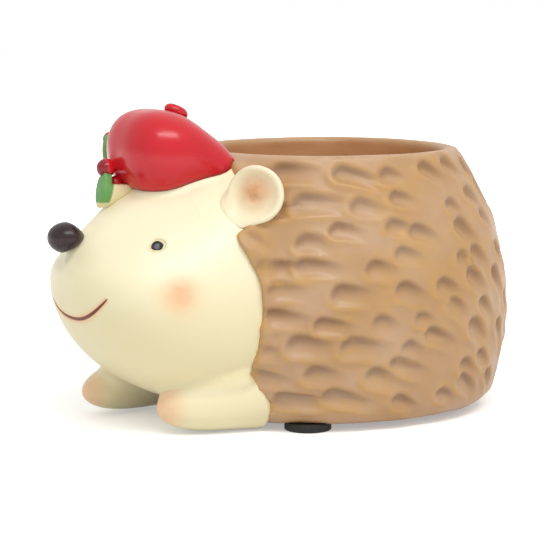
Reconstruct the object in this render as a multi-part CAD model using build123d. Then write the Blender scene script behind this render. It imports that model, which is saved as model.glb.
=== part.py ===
"""Hedgehog planter: a resin pot in a quilled coat, with a cream head, forelegs and a red cap.

The animal faces -Y and its left side is +X.  Millimetres, +Z up.  Every piece is modelled round the
pot's upright axis, and the whole is moved at the end so that the origin lies on the surface that the
planter stands on, under the middle of its overall length.
"""
import math
import os

from build123d import *

# Rubber pads under the pot
PAD_RADIUS = 7.6
PAD_THICKNESS = 2.8
PAD_RECESS = 0.8
PAD_CHAMFER = 0.5
FRONT_PAD_FROM_MIDLINE = 35.0
FRONT_PAD_FORWARD = 26.0
REAR_PAD_FROM_MIDLINE = 24.0
REAR_PAD_BACK = 34.0

# Pot: half width and reach to front and rear of its axis at the foot, the belly and the rim
FOOT_HALF_WIDTH = 50.0
FOOT_FRONT = 50.0
FOOT_REAR = 56.0
BELLY_HALF_WIDTH = 55.0
BELLY_FRONT = 59.0
BELLY_REAR = 63.4
BELLY_HEIGHT = 34.0
RIM_HALF_WIDTH = 43.5
RIM_FRONT = 43.0
RIM_REAR = 44.0
RIM_HEIGHT = 88.0
FOOT_ROUND = 7.0
RIM_WALL = 4.2
RIM_ROUND = 1.4
WELL_DRAFT = 3.0
WELL_ROUND = 8.0
POT_FLOOR = 8.0

# Quill dents: staggered rows of scoops, level beside the neck and turning down towards the rear
DENT_LENGTH = 10.0
DENT_WIDTH = 5.0
DENT_DEPTH = 1.1
DENT_PITCH = 16.5
DENT_ROW_SPACING = 9.2
LOWEST_DENT = 12.0
HIGHEST_DENT = 81.0
DENT_NECK_ANGLE = 122.0
DENT_SWEEP = 1.6

# Head: a bluff form that leaves the pot's front and closes at the muzzle
HEAD_START = 38.0
HEAD_REACH = 95.3
HEAD_HALF_WIDTH = 39.0
HEAD_TOP = 86.0
HEAD_UNDERSIDE = 6.0
MUZZLE_HEIGHT = 50.5
HEAD_FULLNESS = 2.25
MUZZLE_BLUNTNESS = 4.2
FOREHEAD_FULLNESS = 1.45
BROW_PINCH = 0.62
HEAD_SQUARENESS = 2.6
HEAD_DOWEL_RADIUS = 9.0
HEAD_DOWEL_LENGTH = 8.0
HEAD_DOWEL_HEIGHT = 38.0
DOWEL_CLEARANCE = 0.2

# Coat lip that laps over the neck, with two swept-back tufts on each flank
LIP_THICKNESS = 2.0
TUFT_ROUND = 2.0
LIP_TOP_REACH = 44.0
LIP_TOP_HEIGHT = 69.0
UPPER_TUFT_REACH = 53.0
UPPER_TUFT_HEIGHT = 64.5
NOTCH_REACH = 45.0
NOTCH_HEIGHT = 47.0
LOWER_TUFT_REACH = 45.5
LOWER_TUFT_HEIGHT = 24.0
LIP_FOOT_REACH = 40.0

# Forelegs
LEG_START = 39.0
LEFT_LEG_REACH = 72.0
RIGHT_LEG_REACH = 80.0
LEG_HALF_WIDTH = 9.5
HAUNCH_TOP = 24.0
PAW_MIDDLE = 8.2
LEG_FROM_MIDLINE = 19.5
LEG_SPLAY = 7.0
LEG_FULLNESS = 5.0
HAUNCH_FULLNESS = 1.0
SOLE_HEIGHT = 0.5

# Ears: dished discs set in the corner between head and coat
EAR_RADIUS = 10.0
EAR_THICKNESS = 7.0
EAR_DISH_DEPTH = 2.4
EAR_RIM = 2.6
EAR_FROM_MIDLINE = 35.5
EAR_FORWARD = 46.0
EAR_HEIGHT = 76.8
EAR_TURN = 50.0
EAR_TILT = 8.0

# Nose and eyes, each with a peg in the head
NOSE_HALF_WIDTH = 6.2
NOSE_HALF_LENGTH = 6.0
NOSE_HALF_HEIGHT = 5.0
NOSE_HEIGHT = 62.5
NOSE_PROUD = 3.7
NOSE_PEG_RADIUS = 2.5
NOSE_PEG_LENGTH = 10.0
EYE_RADIUS = 1.9
EYE_FROM_MIDLINE = 24.6
EYE_HEIGHT = 61.5
EYE_SINK = 0.8
EYE_PEG_RADIUS = 0.9
EYE_PEG_LENGTH = 5.0
PEG_CLEARANCE = 0.1

# Cap: two puffed lobes, rounded in front and sloping down to the rim, with a button on top
LOBE_HALF_WIDTH = 16.0
LOBE_FROM_MIDLINE = 3.5
LOBE_REAR_HALF_WIDTH = 13.0
CAP_TOP = 102.5
CAP_UNDERSIDE = 74.0
CAP_FRONT_HEIGHT = 88.5
CAP_CROWN_FORWARD = 63.0
CAP_REACH = 76.5
CAP_REAR_FORWARD = 38.0
CAP_REAR_TOP = 86.0
CAP_FULLNESS = 2.2
CROWN_FULLNESS = 3.0
CAP_ROUNDNESS = 1.7
SLOPE_SHARES = (0, 0.3, 0.6)
BUTTON_HALF_LENGTH = 4.0
BUTTON_HALF_WIDTH = 3.4
BUTTON_HALF_HEIGHT = 2.2
BUTTON_FORWARD = 55.0
BUTTON_PROUD = 1.0
BUTTON_TILT = 25.0

# Berries and leaves at the cap's front: place from the midline, height, and a berry's radius
BERRIES = ((-3.5, 84.3, 3.1), (-4.0, 79.4, 1.8), (-18.5, 91.0, 2.7))
BERRY_PROUD = 0.85
LEAF_LENGTH = 13.0
LEAF_WIDTH = 6.5
LEAF_THICKNESS = 2.8
BROW_LEAF_FROM_MIDLINE = -2.0
BROW_LEAF_TIP_HEIGHT = 70.8
BROW_LEAF_LEAN = 12.0
SIDE_LEAF_FROM_MIDLINE = -17.0
SIDE_LEAF_HEIGHT = 87.0

# Number of points that describe an oval, and sections along a bluff form
OVAL_POINTS = 16
OVAL_SQUARENESS = 2.15
PINCH_FOOT = 0.2
PINCH_HEAD = 0.8
BLUFF_SECTIONS = 7

SIDES = (("left", 1), ("right", -1))


def signed_power(value, power):
    return math.copysign(abs(value) ** power, value)


def smooth_step(start, end, value):
    share = min(1, max(0, (value - start) / (end - start)))
    return share * share * (3 - 2 * share)


def oval(plane, half_width, low, high, squareness=OVAL_SQUARENESS, pinch=0):
    """Closed smooth outline on a plane, from low to high along its y, pinched in towards the top."""
    points = []
    for step in range(OVAL_POINTS):
        angle = 2 * math.pi * (step / OVAL_POINTS - 1 / 4)
        sideways = half_width * signed_power(math.cos(angle), 2 / squareness)
        along = signed_power(math.sin(angle), 2 / squareness)
        sideways *= 1 - pinch * smooth_step(PINCH_FOOT, PINCH_HEAD, along)
        points.append((sideways, (low + high) / 2 + along * (high - low) / 2))
    return plane * make_face(Spline(points, periodic=True))


def level(height):
    return Plane.XY.offset(height)


def across(y, x=0):
    """Upright plane that faces forward, x to the animal's left and y up."""
    return Plane(origin=(x, y, 0), x_dir=(1, 0, 0), z_dir=(0, -1, 0))


def bluff_sections(start, reach, half_width, low, high, tip_height, fullness, top_fullness=None,
                   bluntness=None, squareness=OVAL_SQUARENESS, pinch=0, x_start=0, x_tip=0):
    """Sections of a form that starts as an oval at -start and closes to a rounded tip at -reach."""
    sections = []
    for step in range(BLUFF_SECTIONS):
        share = math.sin(math.pi / 2 * step / BLUFF_SECTIONS)
        size = math.sqrt(1 - share ** fullness)
        top_size = math.sqrt(1 - share ** (top_fullness or fullness))
        side_size = math.sqrt(1 - share ** (bluntness or fullness))
        plane = across(-start - (reach - start) * share, x_start + (x_tip - x_start) * share)
        sections.append(oval(
            plane,
            half_width * side_size,
            tip_height - (tip_height - low) * size,
            tip_height + (high - tip_height) * top_size,
            squareness + (OVAL_SQUARENESS - squareness) * share,
            pinch * share,
        ))
    return sections + [Vertex(x_tip, -reach, tip_height)]


def ellipsoid(half_x, half_y, half_z):
    return scale(Sphere(1), by=(half_x, half_y, half_z))


def on_surface(form, x, height):
    """Point of a form that faces forward at a place and height, and the direction it faces."""
    hits = form.find_intersection_points(Axis((x, -HEAD_REACH * 2, height), (0, 1, 0)))
    point, normal = min(hits, key=lambda hit: hit[0].Y)
    return point, normal


def lying_on(point, normal, towards):
    """Plane that lies on a surface, with its x as near as can be to a direction."""
    along = towards - normal * towards.dot(normal)
    return Plane(origin=point, x_dir=along, z_dir=normal)


# Pot form, still without its well
pot_bottom = PAD_THICKNESS - PAD_RECESS
pot_form = loft([
    oval(level(pot_bottom), FOOT_HALF_WIDTH, -FOOT_FRONT, FOOT_REAR),
    oval(level(BELLY_HEIGHT), BELLY_HALF_WIDTH, -BELLY_FRONT, BELLY_REAR),
    oval(level(RIM_HEIGHT), RIM_HALF_WIDTH, -RIM_FRONT, RIM_REAR),
])
pot_form = fillet(pot_form.edges().sort_by(Axis.Z)[0], FOOT_ROUND)

# Head form and the lip of the coat that laps over its neck
head_form = loft(bluff_sections(
    HEAD_START, HEAD_REACH, HEAD_HALF_WIDTH, HEAD_UNDERSIDE, HEAD_TOP, MUZZLE_HEIGHT, HEAD_FULLNESS,
    FOREHEAD_FULLNESS, MUZZLE_BLUNTNESS, HEAD_SQUARENESS, BROW_PINCH))
lip_form = loft(bluff_sections(
    HEAD_START, HEAD_REACH + LIP_THICKNESS, HEAD_HALF_WIDTH + LIP_THICKNESS,
    HEAD_UNDERSIDE - LIP_THICKNESS, HEAD_TOP + LIP_THICKNESS, MUZZLE_HEIGHT, HEAD_FULLNESS,
    FOREHEAD_FULLNESS, MUZZLE_BLUNTNESS, HEAD_SQUARENESS, BROW_PINCH))
lip_outline = Polyline(
    (0, 0),
    (-LIP_FOOT_REACH, 0),
    (-LOWER_TUFT_REACH, LOWER_TUFT_HEIGHT),
    (-NOTCH_REACH, NOTCH_HEIGHT),
    (-UPPER_TUFT_REACH, UPPER_TUFT_HEIGHT),
    (-LIP_TOP_REACH, LIP_TOP_HEIGHT),
    (-LIP_TOP_REACH, RIM_HEIGHT),
    (0, RIM_HEIGHT),
    close=True,
)
lip_face = make_face(lip_outline)
lip_face = fillet(lip_face.vertices().group_by(Axis.X)[0], TUFT_ROUND)
lip_zone = extrude(Plane.YZ * lip_face, BELLY_HALF_WIDTH, both=True)
coat_lip = (lip_form & lip_zone) - head_form

# Well for the plant, drafted so that it narrows downwards
well_foot_inset = RIM_WALL + WELL_DRAFT
well = loft([
    oval(level(pot_bottom + POT_FLOOR), RIM_HALF_WIDTH - well_foot_inset,
         -RIM_FRONT + well_foot_inset, RIM_REAR - well_foot_inset),
    oval(level(RIM_HEIGHT), RIM_HALF_WIDTH - RIM_WALL, -RIM_FRONT + RIM_WALL, RIM_REAR - RIM_WALL),
])
well = fillet(well.edges().sort_by(Axis.Z)[0], WELL_ROUND)

# Pads and the recesses that they sit in
pads = {}
pad_rows = (
    ("front", FRONT_PAD_FROM_MIDLINE, -FRONT_PAD_FORWARD),
    ("rear", REAR_PAD_FROM_MIDLINE, REAR_PAD_BACK),
)
for row, from_midline, y in pad_rows:
    for side, sign in SIDES:
        pad = Pos(sign * from_midline, y, PAD_THICKNESS / 2) * Cylinder(PAD_RADIUS, PAD_THICKNESS)
        pads[f"pad_{row}_{side}"] = chamfer(pad.edges().sort_by(Axis.Z)[0], PAD_CHAMFER)

# Dowel that locates the head on the pot
dowel_plane = Plane(origin=(0, HEAD_DOWEL_LENGTH - BELLY_FRONT, HEAD_DOWEL_HEIGHT), z_dir=(0, -1, 0))
dowel_reach = HEAD_DOWEL_LENGTH + HEAD_DOWEL_RADIUS
head_dowel = dowel_plane * extrude(Circle(HEAD_DOWEL_RADIUS), dowel_reach)
dowel_socket = dowel_plane * extrude(Circle(HEAD_DOWEL_RADIUS + DOWEL_CLEARANCE), dowel_reach)

coat_form = pot_form + coat_lip

# Dents: one scoop is a spindle whose chord lies along the quill
scoop_radius = ((DENT_WIDTH / 2) ** 2 + DENT_DEPTH ** 2) / (2 * DENT_DEPTH)
scoop_bend = ((DENT_LENGTH / 2) ** 2 + DENT_DEPTH ** 2) / (2 * DENT_DEPTH)
scoop_half_chord = math.sqrt(scoop_bend ** 2 - (scoop_bend - scoop_radius) ** 2)
scoop = revolve(make_face([
    ThreePointArc((-scoop_half_chord, 0), (0, scoop_radius), (scoop_half_chord, 0)),
    Line((scoop_half_chord, 0), (-scoop_half_chord, 0)),
]), Axis.X)
dents = []
dent_rows = int((HIGHEST_DENT - LOWEST_DENT) / DENT_ROW_SPACING) + 1
dents_in_row = round(math.radians(2 * DENT_NECK_ANGLE) * BELLY_HALF_WIDTH / DENT_PITCH)
for row in range(dent_rows):
    height = LOWEST_DENT + row * DENT_ROW_SPACING
    stagger = row % 2
    for number in range(dents_in_row + 1 - stagger):
        from_rear = DENT_NECK_ANGLE * ((2 * number + stagger) / dents_in_row - 1)
        outward = Vector(math.sin(math.radians(from_rear)), math.cos(math.radians(from_rear)), 0)
        point, normal = pot_form.find_intersection_points(Axis((0, 0, height), outward))[-1]
        level_way = Vector(0, 0, math.copysign(1, from_rear)).cross(normal).normalized()
        fall = 90 * (1 - abs(from_rear) / DENT_NECK_ANGLE) ** DENT_SWEEP
        along = level_way.rotate(Axis((0, 0, 0), normal), -math.copysign(fall, from_rear))
        dents.append(Plane(point + normal * (scoop_radius - DENT_DEPTH), x_dir=along, z_dir=normal) * scoop)

# Pot: hollowed, rounded at the rim and dented.  A cut can leave a scoop's chip loose, so the largest
# solid is the pot.
smooth_pot = coat_form - well - (dowel_socket & pot_form) - list(pads.values())
rim_edges = smooth_pot.edges().group_by(Axis.Z)[-1]
dented_pot = fillet(rim_edges, RIM_ROUND) - dents
quill_pot = dented_pot.solids().sort_by(SortBy.VOLUME)[-1]

# Nose: a ball with its poles fore and aft, and a peg that runs back into the head
nose_seat, _ = on_surface(head_form, 0, NOSE_HEIGHT)
nose_centre = nose_seat + Vector(0, -NOSE_PROUD, 0)
peg_plane = Plane(origin=nose_centre, z_dir=(0, 1, 0))
nose_peg = peg_plane * extrude(Circle(NOSE_PEG_RADIUS), NOSE_PEG_LENGTH)
nose_socket = peg_plane * extrude(Circle(NOSE_PEG_RADIUS + PEG_CLEARANCE), NOSE_PEG_LENGTH)
nose_ball = Pos(nose_centre) * Rot(90, 0, 0) * ellipsoid(NOSE_HALF_WIDTH, NOSE_HALF_HEIGHT, NOSE_HALF_LENGTH)
nose = nose_ball - head_form + nose_peg

head = head_form - pot_form + (head_dowel & head_form) - nose_socket

# Eyes: beads in round seats, each on a peg
eyes = {}
for side, sign in SIDES:
    seat, normal = on_surface(head_form, sign * EYE_FROM_MIDLINE, EYE_HEIGHT)
    inward = Plane(origin=seat - normal * EYE_SINK, z_dir=-normal)
    bead = inward * Sphere(EYE_RADIUS)
    peg = inward * extrude(Circle(EYE_PEG_RADIUS), EYE_PEG_LENGTH)
    peg_hole = inward * extrude(Circle(EYE_PEG_RADIUS + PEG_CLEARANCE), EYE_PEG_LENGTH)
    head = head - bead - peg_hole
    eyes[f"eye_{side}"] = bead + peg

# Forelegs, cut to seat against the head and the pot
forelegs = {}
for (side, sign), reach in zip(SIDES, (LEFT_LEG_REACH, RIGHT_LEG_REACH)):
    leg_form = loft(bluff_sections(
        LEG_START, reach, LEG_HALF_WIDTH, SOLE_HEIGHT, HAUNCH_TOP, PAW_MIDDLE, LEG_FULLNESS, HAUNCH_FULLNESS,
        x_start=sign * (LEG_FROM_MIDLINE + LEG_SPLAY), x_tip=sign * LEG_FROM_MIDLINE))
    forelegs[f"foreleg_{side}"] = leg_form - coat_form - head_form

# Ears: a rounded back, a rolled rim and a dish
ear_rim_inside = EAR_RADIUS - EAR_RIM
ear_section = make_face([
    Spline((0, EAR_RIM / 2 - EAR_THICKNESS), (EAR_RADIUS, 0), tangents=((1, 0), (0, 1))),
    ThreePointArc((EAR_RADIUS, 0), (EAR_RADIUS - EAR_RIM / 2, EAR_RIM / 2), (ear_rim_inside, 0)),
    Spline((ear_rim_inside, 0), (0, -EAR_DISH_DEPTH), tangents=((0, -1), (-1, 0))),
    Line((0, -EAR_DISH_DEPTH), (0, EAR_RIM / 2 - EAR_THICKNESS)),
])
ear_disc = revolve(Plane.XZ * ear_section, Axis.Z)
ears = {}
for side, sign in SIDES:
    turn = math.radians(EAR_TURN)
    tilt = math.radians(EAR_TILT)
    facing = (sign * math.sin(turn) * math.cos(tilt), -math.cos(turn) * math.cos(tilt), math.sin(tilt))
    place = Plane(origin=(sign * EAR_FROM_MIDLINE, -EAR_FORWARD, EAR_HEIGHT), z_dir=facing)
    ears[f"ear_{side}"] = place * ear_disc

# Cap: the two lobes meet in a crease, and the rim's front stops them
slope_sections = [
    oval(
        across(-CAP_REAR_FORWARD - (CAP_CROWN_FORWARD - CAP_REAR_FORWARD) * share),
        LOBE_REAR_HALF_WIDTH + (LOBE_HALF_WIDTH - LOBE_REAR_HALF_WIDTH) * math.sqrt(share),
        CAP_UNDERSIDE,
        CAP_TOP - (CAP_TOP - CAP_REAR_TOP) * (1 - share) ** CAP_ROUNDNESS,
    )
    for share in SLOPE_SHARES
]
lobe = loft(slope_sections + bluff_sections(
    CAP_CROWN_FORWARD, CAP_REACH, LOBE_HALF_WIDTH, CAP_UNDERSIDE, CAP_TOP, CAP_FRONT_HEIGHT, CAP_FULLNESS,
    CROWN_FULLNESS))
cap_form = Pos(LOBE_FROM_MIDLINE, 0, 0) * lobe + Pos(-LOBE_FROM_MIDLINE, 0, 0) * lobe
over_rim = extrude(
    oval(level(RIM_HEIGHT - LIP_THICKNESS), RIM_HALF_WIDTH, -RIM_FRONT, RIM_REAR), CAP_TOP)
cap = cap_form - head_form - coat_form - over_rim

for name in ears:
    ears[name] = ears[name] - head_form - coat_form - cap

button_seat = cap_form.find_intersection_points(
    Axis((0, -BUTTON_FORWARD, RIM_HEIGHT * 2), (0, 0, -1)))[0][0]
cap_button = Pos(button_seat + Vector(0, 0, BUTTON_PROUD)) * Rot(-BUTTON_TILT, 0, 0) * ellipsoid(
    BUTTON_HALF_WIDTH, BUTTON_HALF_LENGTH, BUTTON_HALF_HEIGHT) - cap_form

# Berries stand out from the cap's front, each touching the cap
berries = {}
for number, (x, height, radius) in enumerate(BERRIES, start=1):
    seat, normal = on_surface(cap_form, x, height)
    berry = Plane(origin=seat + normal * radius * BERRY_PROUD, z_dir=normal) * Sphere(radius)
    berries[f"berry_{number}"] = berry - cap_form - head_form - list(berries.values())

# Leaves: one leans on the brow under the berries, the other lies on the cap's far side
leaf_blade = extrude(make_face([
    ThreePointArc((0, 0), (LEAF_LENGTH / 2, LEAF_WIDTH / 2), (LEAF_LENGTH, 0)),
    ThreePointArc((LEAF_LENGTH, 0), (LEAF_LENGTH / 2, -LEAF_WIDTH / 2), (0, 0)),
]), LEAF_THICKNESS / 2, both=True)
lean = math.radians(BROW_LEAF_LEAN)
brow_seat, _ = on_surface(head_form, BROW_LEAF_FROM_MIDLINE, BROW_LEAF_TIP_HEIGHT)
brow_plane = Plane(
    brow_seat, x_dir=(0, -math.sin(lean), -math.cos(lean)), z_dir=(0, -math.cos(lean), math.sin(lean)))
side_seat, side_normal = on_surface(cap_form, SIDE_LEAF_FROM_MIDLINE, SIDE_LEAF_HEIGHT)
side_plane = lying_on(side_seat, side_normal, Vector(0, 0, -1))
beside_leaves = [cap_form, head_form, *berries.values()]
brow_leaf = brow_plane * Pos(-LEAF_LENGTH, 0, 0) * leaf_blade - beside_leaves
side_leaf = side_plane * Pos(-LEAF_LENGTH / 2, 0, 0) * leaf_blade - beside_leaves

nodes = {
    "quill_pot": quill_pot,
    "head": head,
    **forelegs,
    **ears,
    "nose": nose,
    **eyes,
    "cap": cap,
    "cap_button": cap_button,
    "brow_leaf": brow_leaf,
    "side_leaf": side_leaf,
    **berries,
    **pads,
}

# The origin goes under the middle of the whole
boxes = [solid.bounding_box() for solid in nodes.values()]
front = min(box.min.Y for box in boxes)
rear = max(box.max.Y for box in boxes)
to_middle = Pos(0, -(front + rear) / 2, 0)

os.makedirs("parts", exist_ok=True)
for name, solid in nodes.items():
    export_step(to_middle * solid, f"parts/{name}.step")
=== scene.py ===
"""Hedgehog planter of painted cast resin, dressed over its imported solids.

Lengths are metres in the frame of the solids: the animal faces -Y, its left side is +X and +Z is up.
"""
import math
import random
from collections import namedtuple

import bmesh
import bpy
import numpy as np
from bpy.props import FloatProperty, FloatVectorProperty, IntProperty, PointerProperty
from bpy.types import Operator, Panel, PropertyGroup
from mathutils import Matrix, Vector, noise
from mathutils.bvhtree import BVHTree


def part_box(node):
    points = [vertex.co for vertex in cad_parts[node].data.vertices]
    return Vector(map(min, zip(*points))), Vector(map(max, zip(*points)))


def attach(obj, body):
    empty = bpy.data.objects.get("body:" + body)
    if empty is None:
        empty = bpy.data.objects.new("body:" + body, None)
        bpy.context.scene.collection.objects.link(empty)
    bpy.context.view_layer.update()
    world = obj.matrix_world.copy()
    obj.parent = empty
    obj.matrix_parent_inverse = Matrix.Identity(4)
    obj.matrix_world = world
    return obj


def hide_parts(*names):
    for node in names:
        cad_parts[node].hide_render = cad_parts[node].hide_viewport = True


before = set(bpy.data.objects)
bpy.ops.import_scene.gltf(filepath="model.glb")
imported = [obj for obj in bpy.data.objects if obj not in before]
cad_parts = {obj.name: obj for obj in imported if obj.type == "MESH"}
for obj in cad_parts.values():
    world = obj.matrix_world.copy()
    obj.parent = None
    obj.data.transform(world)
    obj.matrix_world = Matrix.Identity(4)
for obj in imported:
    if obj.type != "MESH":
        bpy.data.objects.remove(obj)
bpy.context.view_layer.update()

bl_info = {
    "name": "Hedgehog planter",
    "version": (1, 0, 0),
    "blender": (4, 5, 0),
    "location": "3D View > Sidebar > Planter",
    "description": "Dresses the solids of a hedgehog planter in painted cast resin",
    "category": "Object",
}

MM = 0.001
SIDES = (("left", 1), ("right", -1))
FRONT_PAD_FORWARD = 26 * MM
NECK_FORWARD = 36 * MM
WELL_CLEAR_OF_POT = 200 * MM
MERGE_DISTANCE = 0.002 * MM
# Height under which a flared edge counts as seated, and the depth that it is then let in
SEAT_EDGE = 0.2 * MM
SEAT_SINK = 0.1 * MM
EYE_RADIUS = 1.9 * MM
NOSE_HALF_DEPTH = 6 * MM
NOSE_MIDDLE_TO_SEAT = 3.7 * MM
# Depth of the dark front face of each berry, and its size beside the solid's
BERRY_FACE = {1: 2.4 * MM, 2: 1.2 * MM, 3: 1.0 * MM}
BERRY_SWELL = {1: 1.0, 2: 1.4, 3: 1.0}


# A dent of the coat: its place, its directions, its sizes and how far it lies beside the neck, from 0 to 1
Quill = namedtuple("Quill", "spot outward along down length half_width arch size beside_neck")


def middle(node):
    """Middle of a solid's box."""
    low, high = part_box(node)
    return (low + high) / 2


POT_AXIS = Vector((0, middle("pad_front_left").y + FRONT_PAD_FORWARD, 0))
RIM_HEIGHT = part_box("quill_pot")[1].z


def off_axis(x, y, z):
    """Point in the frame from its distances off the pot's upright axis and the floor."""
    return POT_AXIS + Vector((x, y, z))


def linear(hex_code):
    """Turns an sRGB hex colour to linear red, green and blue with full alpha."""
    channels = [int(hex_code[start:start + 2], 16) / 255 for start in (1, 3, 5)]
    return tuple(c / 12.92 if c <= 0.04045 else ((c + 0.055) / 1.055) ** 2.4 for c in channels) + (1.0,)


def length(name, description, millimetres):
    """Setting for a length, given in millimetres and kept in metres."""
    return FloatProperty(name=name, description=description, default=millimetres * MM, unit="LENGTH",
                         precision=5)


def paint(name, description, hex_code):
    """Setting for a colour, given as an sRGB hex code."""
    return FloatVectorProperty(name=name, description=description, default=linear(hex_code), size=4,
                               subtype="COLOR", min=0, max=1)


class PlanterCoat(PropertyGroup):
    """Sizes of the quilled coat."""
    skin_grain: length("Skin grain", "Size of the faces that the coat is carved in", 0.85)
    quill_length: length("Quill length", "Length of a dent on the flank", 15.0)
    quill_width: length("Quill width", "Width of a dent at its deep end", 9.0)
    quill_depth: length("Quill depth", "Depth of a dent at its deep end", 1.7)
    quill_lip: length("Quill lip", "Height of the ridge under a dent", 0.5)
    swell: length("Swell", "Height of the uneven swelling between the dents", 0.45)
    row_spacing: length("Row spacing", "Height from one row of dents to the next", 9.0)
    pitch: length("Pitch", "Distance between dents in a row", 15.0)
    lowest: length("Lowest row", "Height of the lowest row of dents", 9.0)
    highest: length("Highest row", "Height of the highest row of dents", 82.0)
    row_stray: length("Row stray", "Most that a dent strays above or below its row", 2.0)
    flank_radius: length("Flank radius", "Radius of the barrel that the pitch is measured on", 52.0)
    plain_dent: length("Plain dent", "Deepest of the solid's dents, which are lifted out first", 1.8)
    swell_spacing: length("Swell spacing", "Distance from one swelling to the next", 11.0)
    lip_width: length("Lip width", "Width of the coat's edge beside the head", 3.4)
    lip_before_neck: length("Lip before neck", "Reach of the edge's smoothing before the neck", 8.0)
    lip_behind_neck: length("Lip behind neck", "Reach of the edge's smoothing behind the neck", 6.0)
    lip_wall: length("Lip wall", "Least thickness that a dent leaves the coat's edge", 1.2)
    # Width of the ochre along the coat's edge: dry brush and a painted highlight on the rounded lip
    lip_ochre: length("Lip ochre", "Width of the ochre along the coat's edge", 3.2)
    lip_ochre_full: length("Lip ochre full", "Width of the ochre at full strength", 1.0)
    rim_edge: length("Rim edge", "Depth of the rim that keeps the colour of the coat", 1.2)
    # Depth of the painted highlight along the top of the rim
    rim_light: length("Rim light", "Depth of the bright line round the rim", 1.6)
    well_floor: length("Well floor", "Height over which the well has its redder paint", 8.0)
    neck_angle: FloatProperty(name="Neck angle", description="Angle from the rear at which the coat ends",
                              default=math.radians(143), subtype="ANGLE")
    seed: IntProperty(name="Seed", description="Start of the draws that vary the dents", default=7)


class PlanterFace(PropertyGroup):
    """Sizes of the head, paws and ears."""
    skin_grain: length("Skin grain", "Size of the faces that the head is carved in", 0.6)
    leg_grain: length("Leg grain", "Size of the faces of a leg", 0.5)
    ear_grain: length("Ear grain", "Size of the faces of an ear", 0.45)
    mouth_half_span: length("Mouth half span", "Distance from the midline to the mouth's corner", 21.6)
    mouth_height: length("Mouth height", "Height of the mouth at the midline", 36.6)
    mouth_rise: length("Mouth rise", "Height of the mouth's corners over its middle", 8.6)
    mouth_width: length("Mouth width", "Width of the carved line at the midline", 1.45)
    mouth_depth: length("Mouth depth", "Depth of the carved line at the midline", 0.7)
    eye_seat: length("Eye seat", "Radius of the shallow ring round an eye", 2.6)
    eye_seat_depth: length("Eye seat depth", "Depth of the ring round an eye", 0.4)
    eye_ring: length("Eye ring", "Half width of the ring round an eye", 0.45)
    mouth_zone: length("Mouth zone", "Reach of the finer faces beside the mouth", 2.4)
    eye_zone: length("Eye zone", "Reach of the finer faces round an eye", 4.6)
    socket_zone: length("Socket zone", "Reach of the smoothing over the filled socket of the nose", 5.0)
    socket_radius: length("Socket radius", "Radius of the plug in the socket of the nose", 3.0)
    socket_depth: length("Socket depth", "Depth of the plug in the socket of the nose", 12.0)
    socket_sink: length("Socket sink", "Depth of the plug's face under the skin", 0.6)
    brow_height: length("Brow height", "Height of the brow's hollow", 68.0)
    brow_half_width: length("Brow half width", "Half width of the brow's hollow", 16.0)
    brow_half_height: length("Brow half height", "Half height of the brow's hollow", 7.0)
    brow_forward: length("Brow forward", "Distance before the pot's axis where the brow begins", 60.0)
    fillet_wave: length("Fillet wave", "Distance from one unevenness of a fillet to the next", 7.0)
    brow_hollow: length("Brow hollow", "Depth that the brow is pressed back over the nose", 2.4)
    cap_fillet: length("Cap fillet", "Width of the skin's rise to the cap", 2.6)
    nose_fillet: length("Nose fillet", "Width of the skin's rise to the nose", 2.8)
    cheek_blush: length("Cheek blush", "Radius of the blush on a cheek", 5.2)
    cheek_side: length("Cheek side", "Distance of a cheek's blush from the midline", 36.0)
    cheek_forward: length("Cheek forward", "Distance of a cheek's blush before the pot's axis", 72.4)
    cheek_height: length("Cheek height", "Height of a cheek's blush", 47.1)
    lip_blush: length("Lip blush", "Width of the blush along the mouth", 0.7)
    # Heights between which painted shade darkens and yellows the head towards the bottom
    wash_top: length("Wash top", "Height where the head's yellow wash begins", 60.0)
    wash_full: length("Wash full", "Height under which the head's yellow wash is full", 36.0)
    paw_blush: length("Paw blush", "Length of the blush on a paw's tip", 8.0)
    paw_blush_full: length("Paw blush full", "Length of the blush at full strength", 0.5)
    sole_pale: length("Sole pale", "Height under which a paw's blush fades", 5.0)
    # Heights between which painted shade darkens and yellows a leg towards the bottom
    leg_wash_top: length("Leg wash top", "Height where a leg's yellow wash begins", 24.0)
    leg_wash_full: length("Leg wash full", "Height under which a leg's yellow wash is full", 6.0)
    leg_fillet: length("Leg fillet", "Width of the fillet between leg and chest", 5.0)
    leg_sink: length("Leg sink", "Depth that a leg runs on into the coat", 2.4)
    # Width of the painted shade in the crease where a leg meets the chest
    leg_shade: length("Leg shade", "Width of the yellow wash beside the chest", 6.0)
    seam_reach: length("Seam reach", "Distance from the coat at which a leg begins to sink in", 1.0)
    seam_sunk: length("Seam sunk", "Distance from the coat at which a leg is sunk in full", 0.3)
    seam_width: length("Seam width", "Width of the softened shading along a seam", 3.5)
    ear_side: length("Ear side", "Distance of an ear's blush from the midline", 33.7)
    ear_forward: length("Ear forward", "Distance of an ear's blush before the pot's axis", 44.6)
    ear_height: length("Ear height", "Height of an ear's blush", 77.6)
    ear_blush: length("Ear blush", "Radius of the blush in an ear", 5.6)
    ear_dish: length("Ear dish", "Radius of the fill in an ear's dish", 5.0)
    ear_back: length("Ear back", "Depth behind an ear's middle under which its back is left", 0.5)
    ear_upright: length("Ear upright", "Distance behind an ear's middle from which it stands free", 1.0)
    ear_lean: length("Ear lean", "Distance before an ear's middle at which it is sunk in full", 9.0)
    ear_sink: length("Ear sink", "Depth that an ear's front edge sinks into the head", 3.6)
    ear_fill: length("Ear fill", "Height that an ear's dish is filled by", 1.0)
    ear_fillet: length("Ear fillet", "Radius of the fillet between ear and head", 4.0)


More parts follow.
